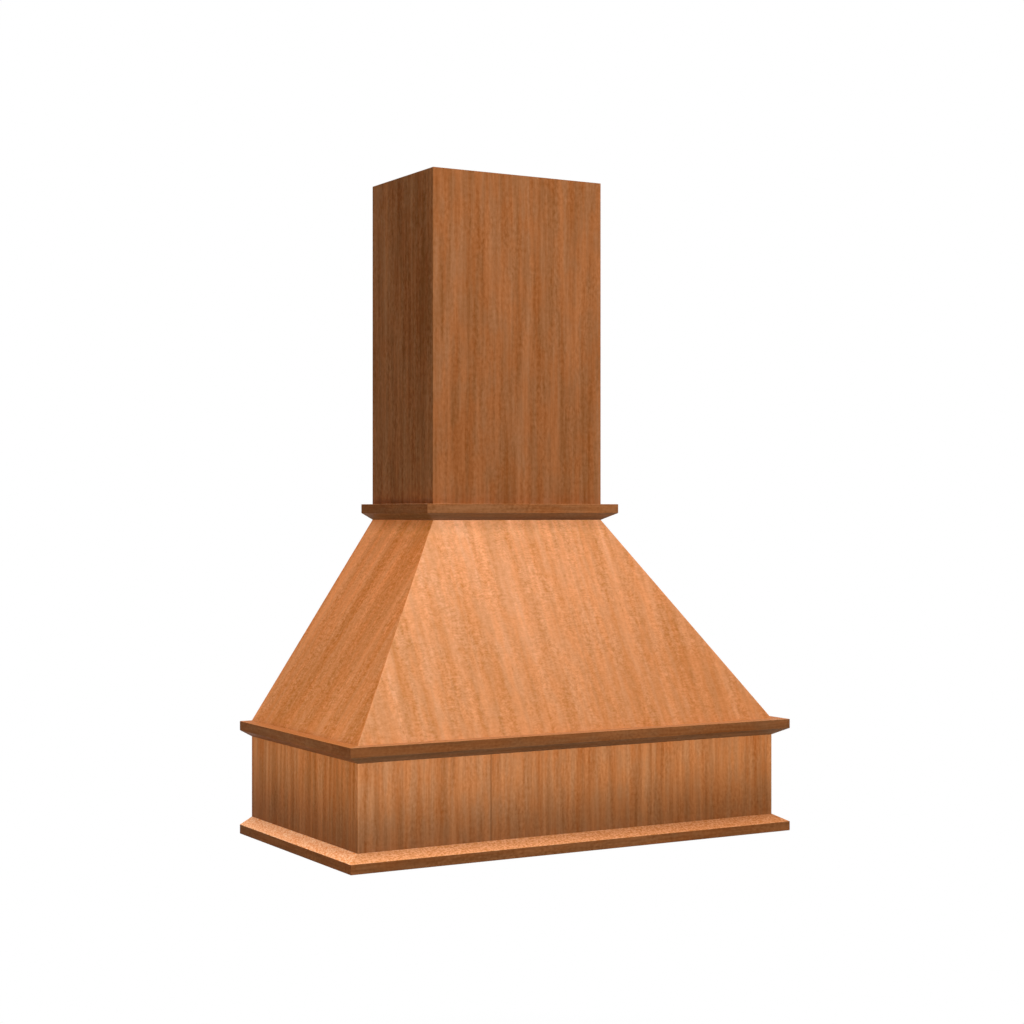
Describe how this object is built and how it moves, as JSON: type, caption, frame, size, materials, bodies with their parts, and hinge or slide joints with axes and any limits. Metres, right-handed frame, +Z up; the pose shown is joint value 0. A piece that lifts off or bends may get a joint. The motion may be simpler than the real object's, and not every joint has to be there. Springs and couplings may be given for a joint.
{
  "type": "wooden range hood cover",
  "caption": "Wall-hung wooden range hood cover: apron, tapered canopy and lift-off chimney with mitred mouldings, open inside for a liner and duct.",
  "frame": {"origin": "on the wall plane, under the middle of the cover, level with its lower edge", "axes": "+X to the right along the wall, +Y into the wall, so the front faces -Y, +Z up"},
  "size_m": [0.9652, 0.5112, 1.3017],
  "materials": {
    "chimney_veneer": "satin cherry veneer, upright grain",
    "slope_veneer": "satin cherry veneer, grain up the slope",
    "apron_veneer": "satin cherry veneer, upright grain",
    "moulding_wood": "satin solid cherry, grain along the length",
    "frame_wood": "unfinished poplar and birch plywood",
    "cleat_wood": "unfinished maple",
    "screw_steel": "zinc plated"
  },
  "bodies": {
    "wall_cleat": {"wall_cleat": "cleat_wood"},
    "canopy": {"apron_corner_block_back_left": "frame_wood", "apron_corner_block_back_right": "frame_wood", "apron_corner_block_front_left": "frame_wood", "apron_corner_block_front_right": "frame_wood", "apron_front": "apron_veneer", "apron_left": "apron_veneer", "apron_right": "apron_veneer", "apron_top_rail_back": "frame_wood", "apron_top_rail_front": "frame_wood", "apron_top_rail_left": "frame_wood", "apron_top_rail_right": "frame_wood", "back_rail_bottom": "frame_wood", "band_moulding_front": "moulding_wood", "band_moulding_left": "moulding_wood", "band_moulding_right": "moulding_wood", "base_moulding_front": "moulding_wood", "base_moulding_left": "moulding_wood", "base_moulding_right": "moulding_wood", "hanging_rail": "cleat_wood", "hip_strip_left": "frame_wood", "hip_strip_right": "frame_wood", "hood_cleat": "cleat_wood", "hood_cleat_screws": "screw_steel", "ledger_screws": "screw_steel", "liner_ledger_back": "frame_wood", "liner_ledger_front": "frame_wood", "liner_ledger_left": "frame_wood", "liner_ledger_right": "frame_wood", "neck_cleat_front": "frame_wood", "neck_cleat_left": "frame_wood", "neck_cleat_right": "frame_wood", "neck_cleat_screws": "screw_steel", "neck_rail_back": "frame_wood", "neck_rail_front": "frame_wood", "neck_rail_left": "frame_wood", "neck_rail_right": "frame_wood", "slope_front": "slope_veneer", "slope_left": "slope_veneer", "slope_right": "slope_veneer", "top_rail_screws": "screw_steel"},
    "chimney": {"chimney_back_rail_bottom": "frame_wood", "chimney_back_rail_top": "frame_wood", "chimney_corner_strip_left": "frame_wood", "chimney_corner_strip_right": "frame_wood", "chimney_front": "chimney_veneer", "chimney_left": "chimney_veneer", "chimney_right": "chimney_veneer", "neck_moulding_front": "moulding_wood", "neck_moulding_left": "moulding_wood", "neck_moulding_right": "moulding_wood"}
  },
  "joints": [
    {"name": "lift_off_wall", "type": "slide", "parent": "wall_cleat", "child": "canopy", "axis": [0, 0, 1], "range_m": [0, 0.0254]},
    {"name": "chimney_lift", "type": "slide", "parent": "canopy", "child": "chimney", "axis": [0, 0, 1], "range_m": [0, 0.04]}
  ]
}
